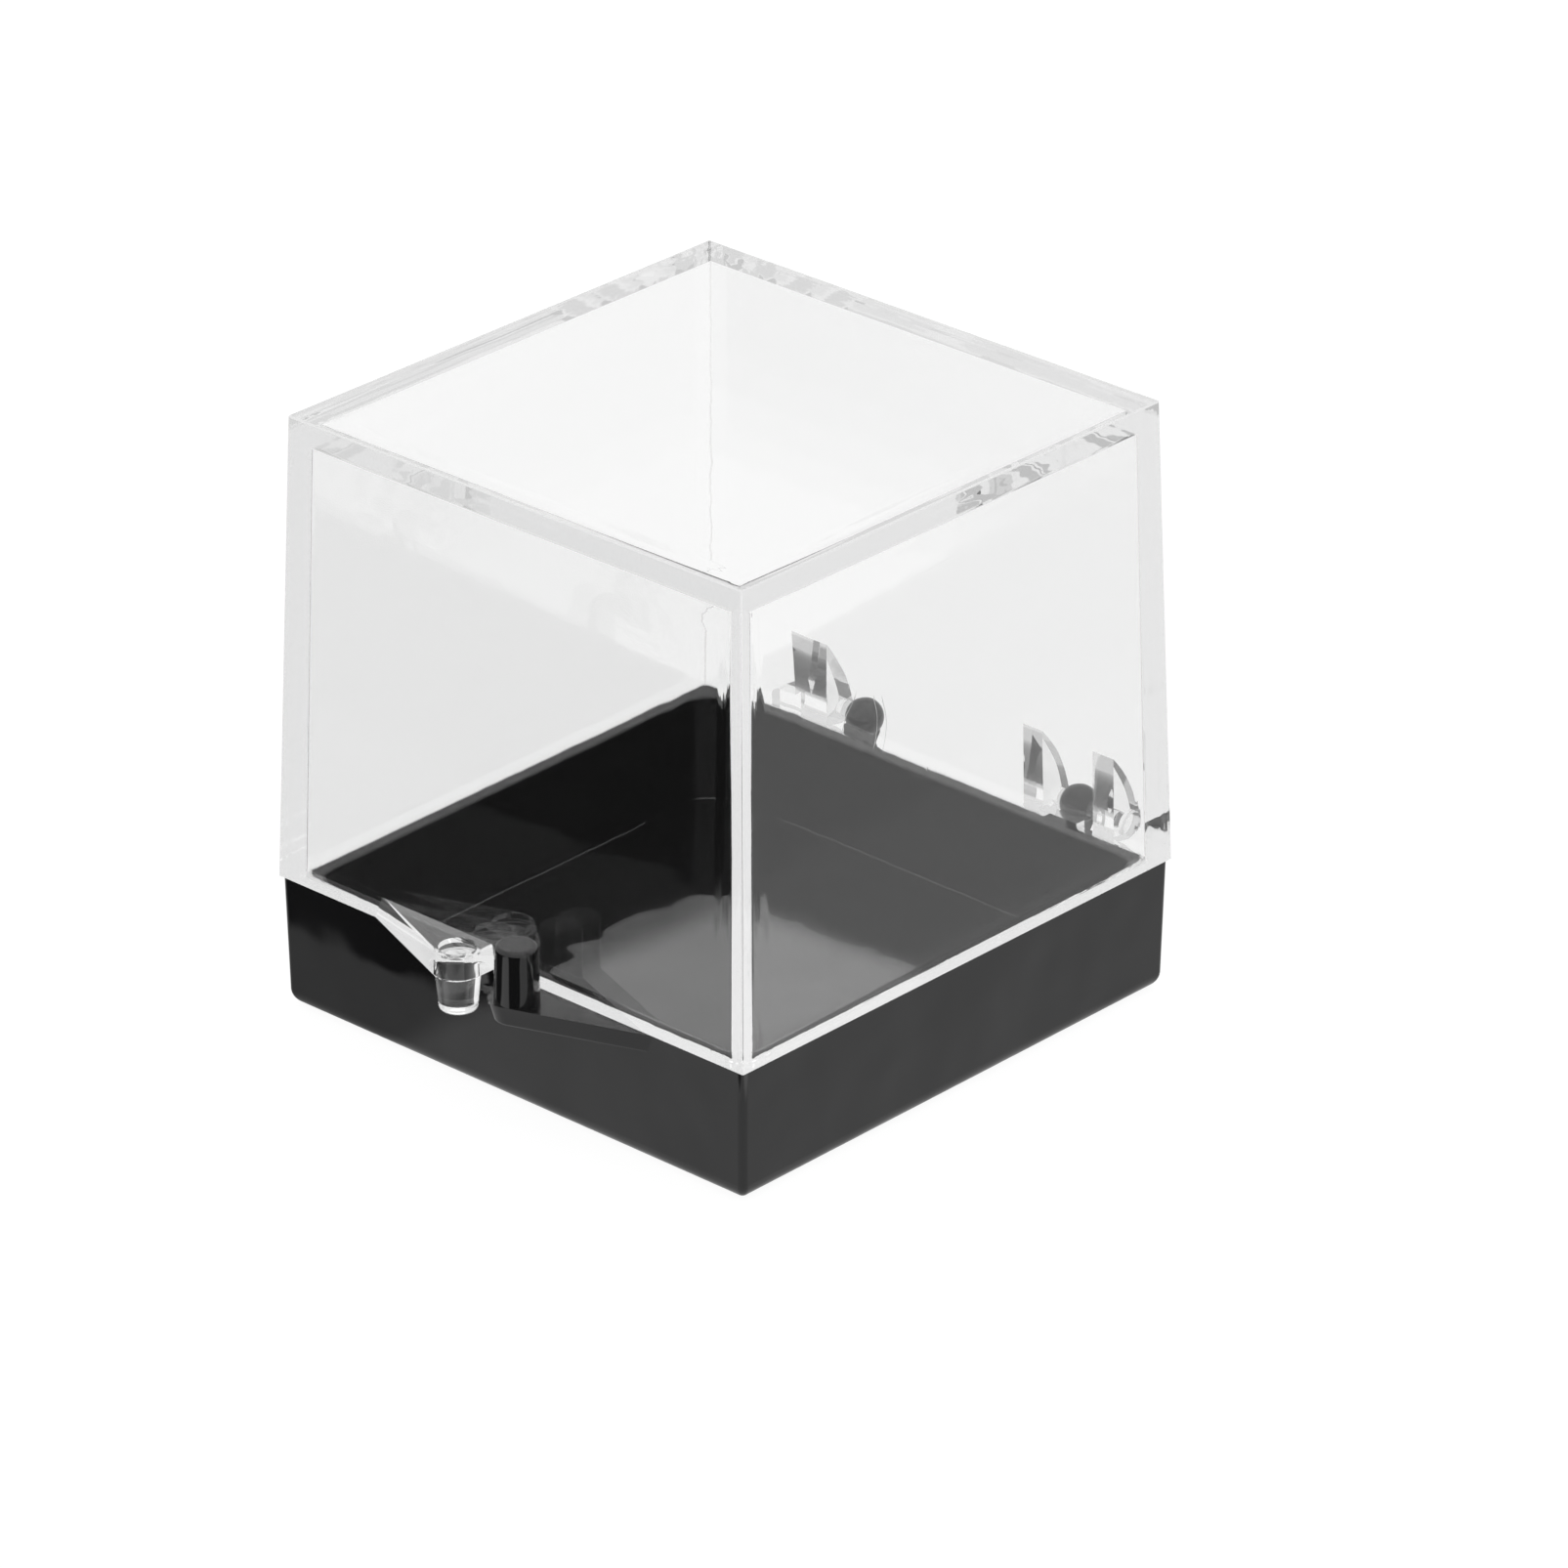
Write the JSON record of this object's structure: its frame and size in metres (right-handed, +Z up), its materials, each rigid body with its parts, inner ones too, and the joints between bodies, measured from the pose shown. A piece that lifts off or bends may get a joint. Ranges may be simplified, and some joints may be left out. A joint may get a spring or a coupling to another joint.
{
  "type": "hinged display case",
  "caption": "Small square display case: a clear five-sided lid hinged along its back edge to a black tray, with finger tabs and a friction peg latch in front.",
  "frame": {"origin": "centre of the tray's flat foot", "axes": "+Z up, +X along the hinge, +Y from the finger tabs in front to the hinge behind"},
  "size_m": [0.0346, 0.04, 0.0354],
  "materials": {
    "black_plastic": "gloss",
    "clear_plastic": "polished clear"
  },
  "bodies": {
    "tray": {"tray": "black_plastic"},
    "lid": {"lid": "clear_plastic"}
  },
  "joints": [
    {"name": "lid_hinge", "type": "hinge", "parent": "tray", "child": "lid", "pos_m": [0, 0.0185, 0.0087], "axis": [-1, 0, 0], "range_deg": [0, 113]}
  ]
}
